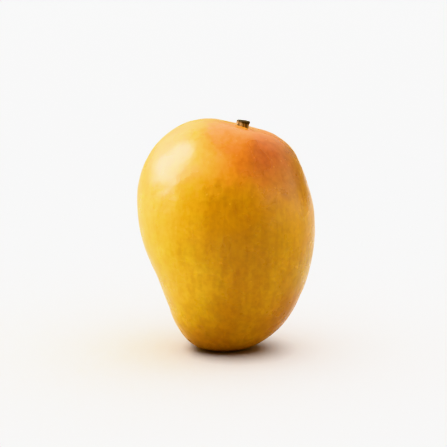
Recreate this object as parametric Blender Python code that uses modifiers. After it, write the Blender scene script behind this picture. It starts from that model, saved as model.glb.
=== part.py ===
"""A whole ripe mango of the short, oblique kind, standing on the small flat of its tip.

Metres, +Z up. The origin is the middle of the flat spot that the fruit rests on, and its broad cheek
faces -Y. The left side, -X, carries the higher shoulder and the faint hollow above the nose. The fruit
grew as one piece. The cut end of its stalk stands in the dimple between the shoulders.
"""

from math import acos, atan2, cos, exp, pi, sin, tan

import bmesh
import bpy
import numpy as np
from mathutils import Matrix, Vector

MM = 0.001

# The fruit's outline seen square on to its broad cheek, in mm as (x, z), clockwise from the stalk. The
# points lie at even shares of the way round, and one smooth curve runs through them all.
OUTLINE = (
    (8.4, 102.4),  # foot of the stalk
    (19.3, 99.5),  # right shoulder
    (29.4, 94.0),
    (35.7, 82.9),
    (39.9, 70.0),
    (41.5, 55.5),  # the fruit is widest here, on the right
    (40.0, 41.5),
    (36.2, 28.0),
    (29.5, 14.8),
    (18.2, 3.4),
    (1.7, -2.3),  # tip, which the flat spot cuts away
    (-12.7, 0.5),
    (-20.8, 9.4),  # nose
    (-25.5, 22.0),  # the faint hollow above the nose
    (-29.9, 34.5),
    (-35.4, 47.0),
    (-38.6, 61.0),
    (-38.4, 76.0),  # widest on the left
    (-31.5, 92.9),
    (-12.5, 105.9),  # left shoulder, the higher one
)
THICKNESS = 70.0  # from cheek to cheek
CHEEK_FLATNESS = 2.15  # 2 is a round section and more is flatter on the cheeks
FULLNESS_NEAR_STALK = 0.10  # how much more of the thickness lies in the upper half
BLUNTNESS = 0.85  # 1 tapers the thickness to round ends and less makes the two ends blunter

DIMPLE_RADIUS = 8.0  # the hollow that the stalk stands in
DIMPLE_DEPTH = 1.7
STALK_LEAN = 0.30  # how far the stalk leans to +X for each unit that it rises

# Half of the stalk's section, in mm as (radius, height above the floor of the dimple).
STALK_SECTION = (
    (0.0, 3.05),  # middle of the cut end, a little sunken
    (1.7, 3.2),
    (2.55, 3.3),
    (2.8, 2.95),  # rim of the cut end
    (2.6, 2.0),
    (2.75, 1.1),
    (3.35, 0.75),
    (3.5, 0.25),  # swollen foot
    (3.25, -0.5),
    (2.7, -2.2),  # root, inside the fruit
    (0.0, -2.2),
)
GAP = 0.3  # between the stalk and the socket that it stands in
SOCKET_RADIUS = 3.5 + GAP
SOCKET_FLOOR = -2.2 - GAP
SOCKET_TOP = 9.0  # well clear of the skin

CAGE_CUTS = 9  # cuts along each edge of the cube that the fruit's cage starts as
STALK_SIDES = 24
FLAT_CUTTER_SIDE = 60.0
MERGE_DISTANCE = 0.00001

SKIN_COLOUR = (0.72, 0.36, 0.03, 1.0)
STALK_COLOUR = (0.12, 0.07, 0.03, 1.0)


def new_object(name, mesh, colour, roughness, collection):
    """Links a mesh as one named object with a material of its own."""
    material = bpy.data.materials.new(name)
    material.use_nodes = True
    shader = material.node_tree.nodes["Principled BSDF"]
    shader.inputs["Base Color"].default_value = colour
    shader.inputs["Roughness"].default_value = roughness
    shader.inputs["Metallic"].default_value = 0.0
    mesh.materials.append(material)
    mesh.shade_smooth()
    thing = bpy.data.objects.new(name, mesh)
    collection.objects.link(thing)
    return thing


def smooth_closed_curve(points):
    """A function of the share of the way round, for the closed cubic spline through the points."""
    knots = np.array(points)
    count = len(knots)
    bends = np.zeros((count, count))
    for i in range(count):
        bends[i, [i - 1, i, (i + 1) % count]] = 1.0, 4.0, 1.0
    pull = 6.0 * (np.roll(knots, -1, 0) - 2.0 * knots + np.roll(knots, 1, 0))
    curvature = np.linalg.solve(bends, pull)

    def at(share):
        place = (share % 1.0) * count
        i = int(place) % count
        j = (i + 1) % count
        t = place - int(place)
        s = 1.0 - t
        bend = ((s**3 - s) * curvature[i] + (t**3 - t) * curvature[j]) / 6.0
        return s * knots[i] + t * knots[j] + bend

    return at


def flattened(value):
    """A sine or cosine pushed outwards, so that the fruit's section is fuller than an ellipse."""
    return abs(value) ** (2.0 / CHEEK_FLATNESS) * (1.0 if value >= 0.0 else -1.0)


def fruit_point(direction, outline):
    """The place on the fruit, in mm, of a point of a ball. The ball's top becomes the stalk's foot."""
    down = acos(max(-1.0, min(1.0, direction.z)))
    around = atan2(direction.y, direction.x)
    right = outline(down / (2.0 * pi))
    left = outline(1.0 - down / (2.0 * pi))
    x, z = (right + left) / 2.0 + (right - left) / 2.0 * flattened(cos(around))
    taper = max(0.0, sin(down)) ** BLUNTNESS * (1.0 + FULLNESS_NEAR_STALK * cos(down))
    return Vector((x, THICKNESS / 2.0 * taper * flattened(sin(around)), z))


def stalk_axis():
    """The way the stalk points."""
    return Vector((STALK_LEAN, 0.0, 1.0)).normalized()


def dimpled(point, foot):
    """Sinks a point near the stalk's foot along the stalk, by a smooth round hollow."""
    away = (point - foot).length / DIMPLE_RADIUS
    return point - stalk_axis() * DIMPLE_DEPTH * exp(-2.0 * away * away)


def mesh_from(shape, name):
    """Turns an edited shape into a mesh."""
    mesh = bpy.data.meshes.new(name)
    shape.to_mesh(mesh)
    shape.free()
    return mesh


def fruit_cage(outline, foot):
    """A cube cut into an even grid, blown up to a ball and shaped into the fruit."""
    cage = bmesh.new()
    bmesh.ops.create_cube(cage, size=2.0)
    bmesh.ops.subdivide_edges(cage, edges=cage.edges[:], cuts=CAGE_CUTS, use_grid_fill=True)
    for vertex in cage.verts:
        ball = Vector([tan(pi / 4.0 * side) for side in vertex.co]).normalized()
        vertex.co = dimpled(fruit_point(ball, outline), foot) * MM
    return mesh_from(cage, "fruit")


def flat_spot_box():
    """A box whose top face is the ground that the fruit stands on."""
    box = bmesh.new()
    bmesh.ops.create_cube(box, size=FLAT_CUTTER_SIDE * MM)
    bmesh.ops.translate(box, verts=box.verts, vec=(0.0, 0.0, -FLAT_CUTTER_SIDE / 2.0 * MM))
    return mesh_from(box, "flat_spot_cutter")


def socket_bar():
    """A round bar along its own Z, from the socket's floor to clear of the skin."""
    bar = bmesh.new()
    bmesh.ops.create_cone(
        bar,
        cap_ends=True,
        segments=STALK_SIDES,
        radius1=SOCKET_RADIUS * MM,
        radius2=SOCKET_RADIUS * MM,
        depth=(SOCKET_TOP - SOCKET_FLOOR) * MM,
        matrix=Matrix.Translation((0.0, 0.0, (SOCKET_TOP + SOCKET_FLOOR) / 2.0 * MM)),
    )
    return mesh_from(bar, "socket_cutter")


def stalk_half_section():
    """The line that is turned into the stalk."""
    mesh = bpy.data.meshes.new("stalk_stub")
    points = [(radius * MM, 0.0, height * MM) for radius, height in STALK_SECTION]
    mesh.from_pydata(points, [(i, i + 1) for i in range(len(points) - 1)], [])
    return mesh


def cut_with(thing, mesh, collection, place):
    """Takes a hidden object with this mesh away from the thing."""
    cutter = bpy.data.objects.new(mesh.name, mesh)
    cutter.hide_render = True
    cutter.display_type = "WIRE"
    cutter.matrix_world = place
    collection.objects.link(cutter)
    modifier = thing.modifiers.new("Cut by " + mesh.name, "BOOLEAN")
    modifier.operation = "DIFFERENCE"
    modifier.solver = "EXACT"
    modifier.object = cutter


def main():
    for thing in list(bpy.data.objects):
        bpy.data.objects.remove(thing)
    parts = bpy.data.collections.new("mango")
    cutters = bpy.data.collections.new("cutters")
    bpy.context.scene.collection.children.link(parts)
    bpy.context.scene.collection.children.link(cutters)

    outline = smooth_closed_curve(OUTLINE)
    foot = fruit_point(Vector((0.0, 0.0, 1.0)), outline)
    dimple_floor = foot - stalk_axis() * DIMPLE_DEPTH
    leaning = stalk_axis().to_track_quat("Z", "Y").to_matrix().to_4x4()
    stalk_place = Matrix.Translation(dimple_floor * MM) @ leaning

    fruit = new_object("fruit", fruit_cage(outline, foot), SKIN_COLOUR, 0.4, parts)
    smooth = fruit.modifiers.new("Smooth skin", "SUBSURF")
    smooth.levels = smooth.render_levels = 1
    cut_with(fruit, flat_spot_box(), cutters, Matrix.Identity(4))
    cut_with(fruit, socket_bar(), cutters, stalk_place)

    stalk = new_object("stalk_stub", stalk_half_section(), STALK_COLOUR, 0.8, parts)
    turn = stalk.modifiers.new("Turned", "SCREW")
    turn.steps = turn.render_steps = STALK_SIDES
    turn.use_merge_vertices = True
    turn.merge_threshold = MERGE_DISTANCE
    stalk.matrix_world = stalk_place


main()
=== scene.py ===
from math import atan2, cos, exp, pi, radians, sin

import bpy
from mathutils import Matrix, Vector, noise


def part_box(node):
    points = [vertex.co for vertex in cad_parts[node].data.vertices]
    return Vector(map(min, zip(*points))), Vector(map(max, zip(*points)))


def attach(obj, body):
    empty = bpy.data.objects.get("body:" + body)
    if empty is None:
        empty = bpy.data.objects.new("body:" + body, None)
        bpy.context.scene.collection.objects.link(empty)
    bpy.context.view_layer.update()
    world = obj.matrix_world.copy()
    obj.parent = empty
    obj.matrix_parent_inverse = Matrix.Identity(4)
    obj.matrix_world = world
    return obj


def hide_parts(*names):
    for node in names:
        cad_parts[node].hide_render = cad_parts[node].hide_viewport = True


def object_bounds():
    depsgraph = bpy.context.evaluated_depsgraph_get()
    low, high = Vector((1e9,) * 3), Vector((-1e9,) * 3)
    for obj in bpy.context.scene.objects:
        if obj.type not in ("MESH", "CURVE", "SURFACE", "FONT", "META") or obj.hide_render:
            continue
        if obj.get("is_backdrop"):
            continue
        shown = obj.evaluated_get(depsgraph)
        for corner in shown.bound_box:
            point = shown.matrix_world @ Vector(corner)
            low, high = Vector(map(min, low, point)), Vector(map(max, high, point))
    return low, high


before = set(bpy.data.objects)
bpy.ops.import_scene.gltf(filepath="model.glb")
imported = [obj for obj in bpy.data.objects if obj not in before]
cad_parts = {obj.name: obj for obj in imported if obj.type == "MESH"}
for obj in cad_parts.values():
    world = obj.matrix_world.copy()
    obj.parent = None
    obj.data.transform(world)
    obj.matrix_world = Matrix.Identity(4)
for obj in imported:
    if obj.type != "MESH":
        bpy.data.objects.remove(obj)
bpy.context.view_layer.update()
MM = 0.001

# The fruit: skin, flesh and stone that grew as one piece. The skin is thin, smooth and waxy, drawn in
# around the stalk and flattened a little at the tip, where the fruit stands.

STALK_FOOT = Vector((7.9, 0.0, 100.75)) * MM  # the floor of the dimple
STALK_WAY = Vector((0.30, 0.0, 1.0)).normalized()  # the way the stalk points
SOCKET_RADIUS = 3.785 * MM
UPPER_END = 90.0 * MM  # the skin around the stalk lies higher than this
MERGE_DISTANCE = 0.01 * MM


def from_stalk(place):
    """How far a place lies from the stalk's axis, and how high above the dimple's floor."""
    away = Vector(place) - STALK_FOOT
    height = away.dot(STALK_WAY)
    return (away - STALK_WAY * height).length, height


def work_on(piece):
    """Makes a piece the only one selected, and the active one."""
    bpy.ops.object.select_all(action="DESELECT")
    piece.select_set(True)
    bpy.context.view_layer.objects.active = piece


def pick_faces(piece, wanted):
    """Goes into edit mode with only the faces selected whose middles are wanted."""
    bpy.ops.object.mode_set(mode="EDIT")
    bpy.ops.mesh.select_mode(type="FACE")
    bpy.ops.mesh.select_all(action="DESELECT")
    bpy.ops.object.mode_set(mode="OBJECT")
    for face in piece.data.polygons:
        face.select = wanted(face.center)
    bpy.ops.object.mode_set(mode="EDIT")


def settle(piece, kind, **settings):
    """Adds a modifier with its settings and applies it."""
    modifier = piece.modifiers.new(kind.title(), kind)
    for name, value in settings.items():
        setattr(modifier, name, value)
    work_on(piece)
    bpy.ops.object.modifier_apply(modifier=modifier.name)


# A merged copy of the solid, with the stalk's socket closed, guides the skin and is then deleted.
guide = bpy.data.objects.new("skin_guide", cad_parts["fruit"].data.copy())
bpy.context.scene.collection.objects.link(guide)
work_on(guide)
bpy.ops.object.mode_set(mode="EDIT")
bpy.ops.mesh.select_all(action="SELECT")
bpy.ops.mesh.remove_doubles(threshold=MERGE_DISTANCE)
bpy.ops.object.mode_set(mode="OBJECT")
pick_faces(guide, lambda middle: middle.z > UPPER_END and from_stalk(middle)[0] < SOCKET_RADIUS)
bpy.ops.mesh.delete(type="FACE")
bpy.ops.mesh.select_mode(type="EDGE")
bpy.ops.mesh.select_all(action="DESELECT")
bpy.ops.mesh.select_non_manifold(extend=False)
bpy.ops.mesh.edge_face_add()
bpy.ops.object.mode_set(mode="OBJECT")

# The skin starts as an evenly cut cube, is blown up to a ball as big as the fruit and drawn on to the
# guide. Around the stalk it is cut finer, twice.
SKIN_CUTS = 19
FINER_WITHIN = (13.0 * MM, 7.5 * MM)
fruit_low, fruit_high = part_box("fruit")
bpy.ops.object.select_all(action="DESELECT")
bpy.ops.mesh.primitive_cube_add(size=2.0)
skin = bpy.context.object
skin.name = skin.data.name = "mango_skin"
bpy.ops.object.mode_set(mode="EDIT")
bpy.ops.mesh.select_all(action="SELECT")
bpy.ops.mesh.subdivide(number_cuts=SKIN_CUTS)
bpy.ops.object.mode_set(mode="OBJECT")
settle(skin, "CAST", cast_type="SPHERE", factor=1.0, use_radius_as_size=False, size=1.0)
bpy.ops.object.mode_set(mode="EDIT")
bpy.ops.mesh.select_all(action="SELECT")
bpy.ops.transform.resize(value=(fruit_high - fruit_low) / 2.0)
bpy.ops.transform.translate(value=(fruit_high + fruit_low) / 2.0)
bpy.ops.object.mode_set(mode="OBJECT")
settle(skin, "SHRINKWRAP", target=guide, wrap_method="NEAREST_SURFACEPOINT")
settle(skin, "SMOOTH", factor=0.5, iterations=3)
for reach in FINER_WITHIN:
    pick_faces(skin, lambda middle: middle.z > UPPER_END and from_stalk(middle)[0] < reach)
    bpy.ops.mesh.subdivide(number_cuts=1)
    bpy.ops.object.mode_set(mode="OBJECT")
settle(skin, "SHRINKWRAP", target=guide, wrap_method="NEAREST_SURFACEPOINT")
settle(skin, "SMOOTH", factor=0.4, iterations=2)
settle(skin, "SUBSURF", levels=2, render_levels=2)
work_on(skin)
bpy.ops.object.shade_smooth()
bpy.data.objects.remove(guide)


def hump(far, middle, width):
    """1 at the middle of a ring around the stalk, in mm, and falling softly away from it."""
    return exp(-(((far - middle * MM) / (width * MM)) ** 2))


# The skin isn't as even as a ball. It has broad shallow flats, and it puckers where it meets the stalk.
DRAWN_IN = 0.10 * MM  # how far the smoothing above drew the skin in
SWELL = 0.28 * MM
SWELL_SIZE = 24.0 * MM
EVEN_BELOW = 2.0 * MM  # the spot that it stands on is left as it is
FADE_IN = 12.0 * MM
STALK_REGION = 18.0 * MM
PUCKER = 0.22 * MM
PUCKERS_AROUND = 4.6  # more of it makes more puckers
PUCKER_LENGTH = 9.0 * MM
LIP = 0.15 * MM  # the skin stands up a little where it meets the stub
outward = [vertex.normal.copy() for vertex in skin.data.vertices]
for vertex, out in zip(skin.data.vertices, outward):
    place = vertex.co.copy()
    standing = min(1.0, max(0.0, (place.z - EVEN_BELOW) / FADE_IN))
    swell = noise.fractal(place / SWELL_SIZE + Vector((3.1, 7.7, 1.3)), 0.6, 2.2, 3)
    raised = (DRAWN_IN + SWELL * swell) * standing
    far, height = from_stalk(place)
    if place.z > UPPER_END - 5.0 * MM and far < STALK_REGION:
        around = atan2(place.y, place.x - STALK_FOOT.x)
        turn = Vector((cos(around), sin(around), 0.0))
        rib = noise.noise(turn * PUCKERS_AROUND + Vector((0.0, 0.0, far / PUCKER_LENGTH)))
        raised += PUCKER * rib * hump(far, 4.6, 2.6)
        raised += LIP * hump(far, 3.3, 0.7)
        hollow = (0.40 + 0.75 * max(0.0, cos(around))) * MM  # deepest on the right of the stalk
        raised -= hollow * hump(far, 7.0, 3.6)
    place += out * raised
    place.z = max(0.0, place.z)
    vertex.co = place


def node(tree, kind, sockets=None, **settings):
    """Adds a shader node. A socket takes either a value or another node's output."""
    made = tree.nodes.new(kind)
    for name, value in settings.items():
        setattr(made, name, value)
    for name, value in (sockets or {}).items():
        if isinstance(value, bpy.types.NodeSocket):
            tree.links.new(value, made.inputs[name])
        else:
            made.inputs[name].default_value = value
    return made


def new_finish(name):
    """A material with nothing in it but its shader, and the place on the object that its nodes read."""
    material = bpy.data.materials.new(name)
    material.use_nodes = True
    tree = material.node_tree
    place = node(tree, "ShaderNodeTexCoord").outputs["Object"]
    return material, tree, tree.nodes["Principled BSDF"], place


def blotches(tree, place, size, detail=3.0, stretch=(1.0, 1.0, 1.0), shift=0.0):
    """Soft noise from 0 to 1, with marks about as wide as size. A stretch below 1 draws them out."""
    moved = node(tree, "ShaderNodeMapping", {0: place, "Scale": stretch, "Location": (shift, shift, shift)})
    sockets = {"Vector": moved.outputs[0], "Scale": 0.5 / size, "Detail": detail}
    return node(tree, "ShaderNodeTexNoise", sockets).outputs["Fac"]


def ramp(tree, value, low, high, start=0.0, end=1.0):
    """Turns a value that goes from low to high smoothly into one from start to end."""
    settings = {"Value": value, "From Min": low, "From Max": high, "To Min": start, "To Max": end}
    made = node(tree, "ShaderNodeMapRange", settings, interpolation_type="SMOOTHSTEP")
    return made.outputs["Result"]


def reckon(tree, how, first, second):
    """Works one number out of two, each of them a value or another node's output."""
    return node(tree, "ShaderNodeMath", {0: first, 1: second}, operation=how).outputs[0]


def plus(tree, first, second):
    return reckon(tree, "ADD", first, second)


def times(tree, first, second):
    return reckon(tree, "MULTIPLY", first, second)


def around_point(tree, place, point, near, far, rough, depth):
    """1 within near of a point, in mm, and 0 beyond far, with an edge that wanders by depth."""
    away = node(tree, "ShaderNodeVectorMath", {0: place, 1: Vector(point) * MM}, operation="DISTANCE")
    wander = times(tree, reckon(tree, "SUBTRACT", rough, 0.5), depth * MM)
    return ramp(tree, plus(tree, away.outputs["Value"], wander), near * MM, far * MM, 1.0, 0.0)


def tint(tree, base, colour, share, how="MIX"):
    """Lays a colour over another, by its share."""
    mixed = node(tree, "ShaderNodeMix", {"Factor": share}, data_type="RGBA", blend_type=how)
    for name, value in (("A", base), ("B", colour)):
        socket = next(s for s in mixed.inputs if s.name == name and s.type == "RGBA")
        if isinstance(value, bpy.types.NodeSocket):
            tree.links.new(value, socket)
        else:
            socket.default_value = (*value, 1.0)
    return next(s for s in mixed.outputs if s.type == "RGBA")


YELLOW = (0.64, 0.462, 0.020)
AMBER = (0.55, 0.270, 0.005)
GOLD = (0.56, 0.305, 0.010)
HONEY = (0.72, 0.455, 0.055)
OCHRE = (0.41, 0.196, 0.002)
ORANGE = (0.60, 0.235, 0.010)
PEACH = (0.80, 0.37, 0.055)
FLAME = (0.50, 0.165, 0.010)
DUSKY = (0.39, 0.158, 0.038)
ROSE = (0.40, 0.112, 0.022)
GREEN_TINGE = (0.42, 0.29, 0.003)
# The tip's brown is partly its own colour and partly painted shade, low down near the floor.
TIP_BROWN_AND_SHADE = (0.43, 0.150, 0.002)

peel, tree, shader, place = new_finish("mango_peel")
broad = blotches(tree, place, 16.0 * MM, 3.0)
middling = blotches(tree, place, 5.0 * MM, 4.0, shift=0.3)
small = blotches(tree, place, 2.4 * MM, 4.0, shift=1.1)
fine = blotches(tree, place, 0.9 * MM, 4.0, shift=0.7)
sides = node(tree, "ShaderNodeSeparateXYZ", {0: place}).outputs

# The skin ripens from yellow on the left to amber and gold on the right, along a border that wanders.
BORDER_WANDER = 30.0 * MM
BORDER_LEAN = 0.2
across = plus(tree, sides["X"], times(tree, reckon(tree, "SUBTRACT", broad, 0.5), BORDER_WANDER))
across = reckon(tree, "SUBTRACT", across, times(tree, sides["Z"], BORDER_LEAN))
colour = tint(tree, YELLOW, AMBER, ramp(tree, across, -43.0 * MM, 2.0 * MM))
colour = tint(tree, colour, GOLD, ramp(tree, across, -3.0 * MM, 17.0 * MM, 0.0, 0.8))

# Each cloud of colour: what it is, its middle and its near and far reach in mm, the pattern that its edge
# follows and by how many mm, and its share.
CLOUDS = (
    (HONEY, (-15.0, -29.0, 38.0), 4.0, 17.0, broad, 12.0, 0.34),  # above the nose
    (OCHRE, (4.0, -34.0, 68.0), 7.0, 34.0, broad, 26.0, 0.74),  # on the broad cheek
    (ORANGE, (12.5, -14.0, 99.5), 12.0, 25.0, broad, 20.0, 0.85),  # in front of the stalk
    # Pale peach freckles on the top by the stalk: partly the skin's own, partly painted light from above.
    (PEACH, (6.0, -12.0, 101.5), 5.0, 15.0, small, 34.0, 0.65),
    (FLAME, (8.5, -23.0, 89.0), 2.0, 13.0, middling, 12.0, 0.35),  # under the orange
    (FLAME, (4.5, -28.5, 83.0), 1.0, 11.0, middling, 9.0, 0.34),
    (PEACH, (-4.5, -28.0, 86.0), 2.0, 12.0, small, 24.0, 0.22),
    (DUSKY, (25.0, -19.0, 84.0), 6.0, 24.0, middling, 20.0, 0.75),  # under the blush
    (ROSE, (13.0, -20.0, 91.0), 2.0, 16.0, small, 40.0, 0.38),
    (PEACH, (22.0, -24.0, 80.0), 1.0, 12.0, small, 34.0, 0.12),
    (GREEN_TINGE, (38.0, -12.0, 38.0), 4.0, 18.0, broad, 16.0, 0.3),  # low on the right side
    # Low on the right the skin is browner: partly its own colour and partly painted shade near the floor.
    (TIP_BROWN_AND_SHADE, (29.0, -14.0, 16.0), 5.0, 23.0, broad, 12.0, 0.6),
    (ORANGE, (16.0, 25.0, 84.0), 6.0, 26.0, broad, 24.0, 0.6),  # on the back
    # Paler peach around the stub: partly the skin's own colour, partly painted light in the dimple's shade.
    (PEACH, (7.9, -1.5, 101.0), 4.2, 8.0, small, 3.0, 0.65),  # around the stub
    (ROSE, (14.0, -4.0, 99.6), 0.5, 6.0, small, 6.0, 0.45),
)
for shade, middle, near, far, edge, depth, share in CLOUDS:
    cloud = around_point(tree, place, middle, near, far, edge, depth)
    colour = tint(tree, colour, shade, times(tree, cloud, share))

# The blush lies on the right shoulder, partly the skin's own blush and partly painted shade: it thins out
# towards a line that runs down from the stalk, and lies only beyond it, where the shoulder turns away from
# the soft box. The tip is browner and darker, partly its own colour and partly painted shade near the
# floor, up to a border that wanders.
from_shade_line = plus(tree, sides["X"], times(tree, middling, 3.0 * MM))
beyond_shade_line = ramp(tree, from_shade_line, 6.0 * MM, 20.0 * MM)
blush = around_point(tree, place, (17.5, -18.0, 92.5), 2.0, 21.0, middling, 7.0)
colour = tint(tree, colour, ROSE, times(tree, times(tree, blush, beyond_shade_line), 0.78))
from_tip = plus(tree, sides["Z"], times(tree, broad, 12.0 * MM))
tip = ramp(tree, from_tip, 6.0 * MM, 30.0 * MM, 1.0, 0.0)
colour = tint(tree, colour, TIP_BROWN_AND_SHADE, times(tree, tip, 0.45))

# Mottling: soft clouds, small freckly patches, streaks that run from the stalk to the tip and a fine
# grain, all of them faint. Each pattern darkens the skin, by its depth, where it rises from low to high.
MOTTLE = (0.915, 0.875, 0.76)
bands = blotches(tree, place, 9.0 * MM, 2.0, stretch=(1.0, 1.0, 0.35), shift=4.2)
wide_streaks = blotches(tree, place, 3.2 * MM, 3.0, stretch=(1.0, 1.0, 0.13), shift=2.3)
streaks = blotches(tree, place, 1.15 * MM, 3.0, stretch=(1.0, 1.0, 0.12), shift=0.5)
for pattern, low, high, depth in (
    (broad, 0.35, 0.65, 0.35),
    (middling, 0.35, 0.7, 0.35),
    (bands, 0.36, 0.64, 0.7),
    (small, 0.40, 0.66, 0.4),
    (wide_streaks, 0.38, 0.64, 0.6),
    (streaks, 0.38, 0.66, 1.1),
    (fine, 0.40, 0.64, 0.95),
):
    colour = tint(tree, colour, MOTTLE, ramp(tree, pattern, low, high, 0.0, depth), "MULTIPLY")
WARMER = (1.0, 0.98, 0.92)
GREENER = (0.985, 1.0, 0.95)
hue = ramp(tree, blotches(tree, place, 3.4 * MM, 4.0, shift=1.9), 0.38, 0.62)
colour = tint(tree, colour, tint(tree, WARMER, GREENER, hue), 1.0, "MULTIPLY")

# Lenticels: pale pores, a few mm apart and of different sizes.
LENTICEL = (0.78, 0.48, 0.08)
PORE_SPACING = 3.2 * MM
sockets = {"Vector": place, "Scale": 1.0 / PORE_SPACING, "Randomness": 0.9}
pores = node(tree, "ShaderNodeTexVoronoi", sockets).outputs
pore_size = node(tree, "ShaderNodeSeparateColor", {0: pores["Color"]}).outputs["Red"]
pore_edge = ramp(tree, pore_size, 0.0, 1.0, 0.05, 0.125)
pore = ramp(tree, reckon(tree, "DIVIDE", pores["Distance"], pore_edge), 0.6, 1.25, 1.0, 0.0)
colour = tint(tree, colour, LENTICEL, times(tree, pore, 0.22))

# Specks: a few small corky marks. Most places that could hold one are left without.
SPECK = (0.20, 0.085, 0.02)
SPECK_SPACING = 11.0 * MM
marks = node(tree, "ShaderNodeTexVoronoi", {"Vector": place, "Scale": 1.0 / SPECK_SPACING}).outputs
chosen = node(tree, "ShaderNodeSeparateColor", {0: marks["Color"]}).outputs["Green"]
speck_edge = ramp(tree, chosen, 0.70, 1.0, 0.0001, 0.045)
speck = ramp(tree, reckon(tree, "DIVIDE", marks["Distance"], speck_edge), 0.7, 1.2, 1.0, 0.0)
colour = tint(tree, colour, SPECK, times(tree, speck, 0.7))

tree.links.new(colour, shader.inputs["Base Color"])
tree.links.new(ramp(tree, middling, 0.3, 0.7, 0.25, 0.33), shader.inputs["Roughness"])
shader.inputs["IOR"].default_value = 1.55
shader.inputs["Subsurface Weight"].default_value = 0.10
shader.inputs["Subsurface Radius"].default_value = (1.0, 0.45, 0.10)
shader.inputs["Subsurface Scale"].default_value = 3.0 * MM
grain = plus(tree, times(tree, fine, 0.7), times(tree, pore, 0.6))
grain = plus(tree, grain, plus(tree, small, times(tree, middling, 2.0)))
bump = node(tree, "ShaderNodeBump", {"Height": grain, "Strength": 0.5, "Distance": 0.20 * MM})
tree.links.new(bump.outputs[0], shader.inputs["Normal"])

skin.data.materials.clear()
skin.data.materials.append(peel)
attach(skin, "root")
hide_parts("fruit")

# The stalk: a stub of dry woody stalk, swollen where it is grown into the fruit and cut off short. Its
# bark is wrinkled lengthwise, and its cut end has dried dark, with a paler ring around the pith.

STALK_SIDES = 32
# The stub's root and each ring above it, in mm: the radius, and the height above the dimple's floor.
ROOT_RADIUS, ROOT_HEIGHT = 2.7, -2.2
STUB_RINGS = (
    (3.10, -0.9),
    (3.42, 0.30),
    (3.38, 0.75),
    (3.05, 1.05),
    (2.95, 1.35),
    (2.88, 1.95),
    (2.88, 2.60),
    (2.90, 3.05),
    (2.92, 3.35),
    (2.78, 3.55),
)
# The cut end, from the rim inwards: a rim of bark, a ring of wood and a sunken pith. Each is how far in
# the next ring lies, and how far up, in mm.
CUT_RINGS = ((0.30, -0.06), (0.55, -0.10), (0.55, 0.02), (0.45, -0.22), (0.30, -0.12))
bpy.ops.object.select_all(action="DESELECT")
bpy.ops.mesh.primitive_circle_add(
    vertices=STALK_SIDES,
    radius=ROOT_RADIUS * MM,
    fill_type="NGON",
    location=(0.0, 0.0, ROOT_HEIGHT * MM),
)
stub = bpy.context.object
stub.name = stub.data.name = "stalk"
bpy.ops.object.transform_apply(location=True)
bpy.ops.object.mode_set(mode="EDIT")
bpy.ops.mesh.select_mode(type="FACE")
bpy.ops.mesh.select_all(action="SELECT")
radius, height = ROOT_RADIUS, ROOT_HEIGHT
for next_radius, next_height in STUB_RINGS:
    rise = (0.0, 0.0, (next_height - height) * MM)
    bpy.ops.mesh.extrude_region_move(TRANSFORM_OT_translate={"value": rise})
    spread = next_radius / radius
    bpy.ops.transform.resize(value=(spread, spread, 1.0), center_override=(0.0, 0.0, next_height * MM))
    radius, height = next_radius, next_height
for inset, rise in CUT_RINGS:
    bpy.ops.mesh.inset(thickness=inset * MM, depth=0.0)
    bpy.ops.transform.translate(value=(0.0, 0.0, rise * MM))
bpy.ops.object.mode_set(mode="OBJECT")
settle(stub, "SUBSURF", levels=2, render_levels=2)
work_on(stub)
bpy.ops.object.mode_set(mode="EDIT")
bpy.ops.mesh.select_all(action="SELECT")
bpy.ops.mesh.normals_make_consistent(inside=False)
bpy.ops.object.mode_set(mode="OBJECT")
bpy.ops.object.shade_smooth()

# The bark is wrinkled and lumpy, and the stub was cut off a little askew: its back (+X here, where it
# still stands upright) and above all its right side (-Y here) are left higher. Then it leans.
WRINKLE = 0.20 * MM
LUMP = 0.13 * MM
CRUMBLE = 0.10 * MM
ASKEW_BACK, ASKEW_RIGHT = 0.04, 0.15
CUT_LIFT = 0.22 * MM
lean = STALK_WAY.to_track_quat("Z", "Y")
for vertex in stub.data.vertices:
    place = vertex.co.copy()
    around = atan2(place.y, place.x)
    turn = Vector((cos(around), sin(around), 0.0))
    wrinkle = noise.noise(turn * 4.6 + Vector((0.0, 0.0, place.z / (2.6 * MM))))
    lump = noise.noise(place / (1.7 * MM) + Vector((5.0, 2.0, 9.0)))
    shown = min(1.0, max(0.0, Vector((place.x, place.y, 0.0)).length / (2.0 * MM) - 0.4))
    place += turn * (WRINKLE * wrinkle + LUMP * lump) * shown
    lift = ASKEW_BACK * place.x - ASKEW_RIGHT * place.y + CUT_LIFT
    lift += noise.noise(place / (0.9 * MM) + Vector((1.0, 8.0, 4.0))) * CRUMBLE
    place.z += lift * min(1.0, max(0.0, (place.z - 2.2 * MM) / (0.9 * MM)))
    vertex.co = lean @ place + STALK_FOOT


def along_stalk(tree, place):
    """Where a place lies as seen from the dimple's floor, and how far that is along the stalk."""
    away = node(tree, "ShaderNodeVectorMath", {0: place, 1: STALK_FOOT}, operation="SUBTRACT").outputs[0]
    along = node(tree, "ShaderNodeVectorMath", {0: away, 1: STALK_WAY}, operation="DOT_PRODUCT")
    return away, along.outputs["Value"]


DARK_BARK = (0.115, 0.072, 0.036)
BARK = (0.36, 0.25, 0.13)
CORK = (0.42, 0.30, 0.14)
CUT_DARK = (0.016, 0.011, 0.005)
CUT_WOOD = (0.10, 0.070, 0.035)

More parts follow.
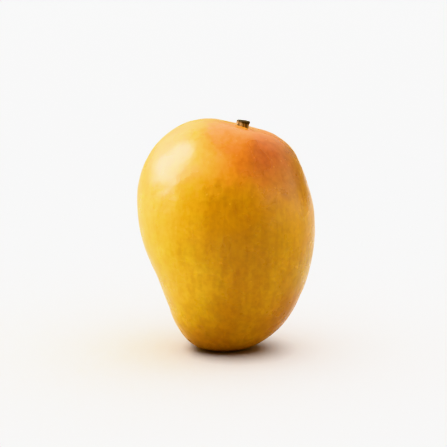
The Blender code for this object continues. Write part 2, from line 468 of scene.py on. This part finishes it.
bark, tree, shader, place = new_finish("stalk_bark")
away, along = along_stalk(tree, place)
flakes = blotches(tree, place, 0.35 * MM, 5.0, shift=0.2)
grooves = blotches(tree, place, 0.30 * MM, 4.0, stretch=(1.0, 1.0, 0.22), shift=0.9)
colour = tint(tree, DARK_BARK, BARK, ramp(tree, grooves, 0.38, 0.66))
corky = times(tree, ramp(tree, along, 1.5 * MM, 0.7 * MM), flakes)
colour = tint(tree, colour, CORK, corky)
dried = ramp(tree, plus(tree, along, times(tree, flakes, 0.7 * MM)), 2.95 * MM, 3.50 * MM)
colour = tint(tree, colour, CUT_DARK, times(tree, dried, 0.85))
tree.links.new(colour, shader.inputs["Base Color"])
tree.links.new(ramp(tree, flakes, 0.3, 0.7, 0.72, 0.92), shader.inputs["Roughness"])
relief = plus(tree, grooves, times(tree, flakes, 0.5))
bump = node(tree, "ShaderNodeBump", {"Height": relief, "Strength": 0.7, "Distance": 0.25 * MM})
tree.links.new(bump.outputs[0], shader.inputs["Normal"])

cut_end, tree, shader, place = new_finish("stalk_cut_end")
away, along = along_stalk(tree, place)
length = node(tree, "ShaderNodeVectorMath", {0: away}, operation="LENGTH").outputs["Value"]
squares = reckon(tree, "SUBTRACT", times(tree, length, length), times(tree, along, along))
from_pith = reckon(tree, "POWER", squares, 0.5)
fibres = blotches(tree, place, 0.22 * MM, 5.0, shift=0.4)
uneven = plus(tree, from_pith, times(tree, fibres, 0.5 * MM))
past_pith = ramp(tree, uneven, 0.75 * MM, 1.15 * MM)
before_rim = ramp(tree, uneven, 1.9 * MM, 2.5 * MM, 1.0, 0.0)
wood = times(tree, times(tree, past_pith, before_rim), ramp(tree, fibres, 0.3, 0.7, 0.25, 0.9))
colour = tint(tree, CUT_DARK, CUT_WOOD, wood)
tree.links.new(colour, shader.inputs["Base Color"])
shader.inputs["Roughness"].default_value = 0.9
shader.inputs["Specular IOR Level"].default_value = 0.2
bump = node(tree, "ShaderNodeBump", {"Height": fibres, "Strength": 0.8, "Distance": 0.2 * MM})
tree.links.new(bump.outputs[0], shader.inputs["Normal"])

CUT_RADIUS = 2.45 * MM
stub.data.materials.clear()
stub.data.materials.append(bark)
stub.data.materials.append(cut_end)
for face in stub.data.polygons:
    far, height = from_stalk(face.center)
    if far < CUT_RADIUS and height > 1.5 * MM:
        face.material_index = 1
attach(stub, "root")
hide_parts("stalk_stub")

# The ground: a wide sheet of matte white card that the fruit stands on. It belongs to the studio, and
# isn't part of the object.

bpy.ops.object.select_all(action="DESELECT")
bpy.ops.mesh.primitive_plane_add(size=90.0)
ground = bpy.context.object
ground.name = "ground"
card, tree, shader, place = new_finish("white_card")
shader.inputs["Base Color"].default_value = (0.86, 0.86, 0.86, 1.0)
shader.inputs["Roughness"].default_value = 0.9
shader.inputs["Specular IOR Level"].default_value = 0.1
ground.data.materials.append(card)
ground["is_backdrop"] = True

# The light: a soft box high on the left, weaker panels on both sides and a wide soft light overhead, all
# for the fruit alone. The ground has a light of its own, so that it is even. What the glossy skin mirrors
# is the ground itself, and above it soft lights that are painted on the studio's walls.


def only_on(name, pieces):
    """A group of pieces that are the only ones to take a lamp's light."""
    group = bpy.data.collections.new(name)
    for piece in pieces:
        group.objects.link(piece)
    return group


on_fruit = only_on("on_fruit", (skin, stub))
on_ground = only_on("on_ground", (ground,))
FRUIT_MIDDLE = Vector((0.0, 0.0, 0.055))


def soft_box(name, way, distance, width, height, power):
    """A soft box that lies this way from the fruit, faces it and lights nothing else."""
    towards = Vector(way).normalized()
    lamp = bpy.data.lights.new(name, "AREA")
    lamp.shape = "RECTANGLE"
    lamp.size, lamp.size_y = width, height
    lamp.energy = power
    box = bpy.data.objects.new(name, lamp)
    box.location = FRUIT_MIDDLE + towards * distance
    box.rotation_euler = (-towards).to_track_quat("-Z", "Y").to_euler()
    box.light_linking.receiver_collection = on_fruit
    box.visible_glossy = False
    bpy.context.scene.collection.objects.link(box)


def soft_ceiling(name, strength, tilt, group):
    """A wide soft light overhead for one group, tilted by some degrees so that it comes from behind."""
    lamp = bpy.data.lights.new(name, "SUN")
    lamp.energy = strength
    lamp.angle = radians(90.0)
    above = bpy.data.objects.new(name, lamp)
    above.location = (0.0, 0.0, 2.0)
    above.rotation_euler = (radians(-tilt), 0.0, 0.0)
    above.light_linking.receiver_collection = group
    above.visible_glossy = False
    bpy.context.scene.collection.objects.link(above)


soft_box("key_box", (-0.71, -0.30, 0.64), 0.9, 0.30, 0.60, 9.2)
soft_box("right_panel", (0.93, -0.27, 0.28), 1.0, 1.0, 0.9, 4.7)
soft_box("left_panel", (-0.90, 0.30, 0.15), 1.0, 0.9, 0.8, 4.6)
soft_ceiling("ceiling", 3.0, 0.0, on_ground)
soft_ceiling("ceiling_over_fruit", 2.95, 20.0, on_fruit)

studio = bpy.data.worlds.new("studio")
studio.use_nodes = True
tree = studio.node_tree
looking = node(tree, "ShaderNodeTexCoord").outputs["Generated"]
way = node(tree, "ShaderNodeSeparateXYZ", {0: looking}).outputs
rise = way["Z"]
# A bearing is 0 towards the camera and positive to the right. The painted lights lean a little.
bearing = reckon(tree, "ARCTAN2", way["X"], times(tree, way["Y"], -1.0))
bearing = reckon(tree, "SUBTRACT", bearing, ramp(tree, rise, 0.45, 0.70, 0.0, radians(9.0)))


def across_walls(left, left_full, right_full, right):
    """1 between two bearings in degrees and 0 beyond two others."""
    rising = ramp(tree, bearing, radians(left), radians(left_full))
    falling = ramp(tree, bearing, radians(right_full), radians(right), 1.0, 0.0)
    return times(tree, rising, falling)


def up_walls(low, low_full, high_full, high):
    """1 between two heights on the walls in degrees and 0 beyond two others."""
    rising = ramp(tree, rise, sin(radians(low)), sin(radians(low_full)))
    falling = ramp(tree, rise, sin(radians(high_full)), sin(radians(high)), 1.0, 0.0)
    return times(tree, rising, falling)


# The walls grow brighter upwards, and dimmer again right overhead. Each painted light has its place
# across and up the walls, and its strength: the soft box, the glow around it, the right panel and a
# faint band low down.
walls = ramp(tree, rise, -0.1, 0.85, 0.16, 1.35)
walls = reckon(tree, "SUBTRACT", walls, ramp(tree, rise, 0.80, 0.97, 0.0, 0.6))
WALL_LIGHTS = (
    ((-122.0, -93.0, -68.0, -56.0), (10.0, 26.0, 54.0, 68.0), 16.5),
    ((-185.0, -95.0, -67.0, -55.0), (0.0, 30.0, 45.0, 70.0), 4.5),
    ((20.0, 60.0, 98.0, 124.0), (-60.0, -12.0, 12.0, 44.0), 1.25),
    ((-135.0, -85.0, 95.0, 140.0), (-90.0, -60.0, 0.0, 25.0), 0.4),
)
for bearings, heights, strength in WALL_LIGHTS:
    light = times(tree, across_walls(*bearings), up_walls(*heights))
    walls = plus(tree, walls, times(tree, light, strength))

# The camera sees a plain pale backdrop, what is glossy mirrors the walls, and a faint even fill comes
# from all around.
BACKDROP = 0.89
FILL = 0.17
ray = node(tree, "ShaderNodeLightPath").outputs
seen = times(tree, ray["Is Camera Ray"], BACKDROP)
mirrored = times(tree, ray["Is Glossy Ray"], walls)
fill = times(tree, ray["Is Diffuse Ray"], FILL)
background = tree.nodes["Background"]
background.inputs["Color"].default_value = (1.0, 1.0, 1.0, 1.0)
tree.links.new(plus(tree, seen, plus(tree, mirrored, fill)), background.inputs["Strength"])
bpy.context.scene.world = studio
bpy.context.scene.view_settings.view_transform = "Khronos PBR Neutral"
bpy.context.scene.view_settings.look = "High Contrast"

# The camera: a long lens a little above the fruit, square on to its broad cheek. Its depth of field is
# off, so that everything is sharp.

CAMERA_RISE = radians(10.5)
CAMERA_DISTANCE = 0.5580
LOOK_AT = Vector((0.00007, 0.0, 0.05804))
camera_data = bpy.data.cameras.new("camera")
camera_data.lens = 100.0
camera_data.sensor_width = 36.0
camera_data.clip_start = 0.01
camera_data.clip_end = 200.0
camera = bpy.data.objects.new("camera", camera_data)
camera.location = LOOK_AT + Vector((0.0, -cos(CAMERA_RISE), sin(CAMERA_RISE))) * CAMERA_DISTANCE
camera.rotation_euler = (pi / 2.0 - CAMERA_RISE, 0.0, 0.0)
bpy.context.scene.collection.objects.link(camera)
bpy.context.scene.camera = camera

low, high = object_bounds()
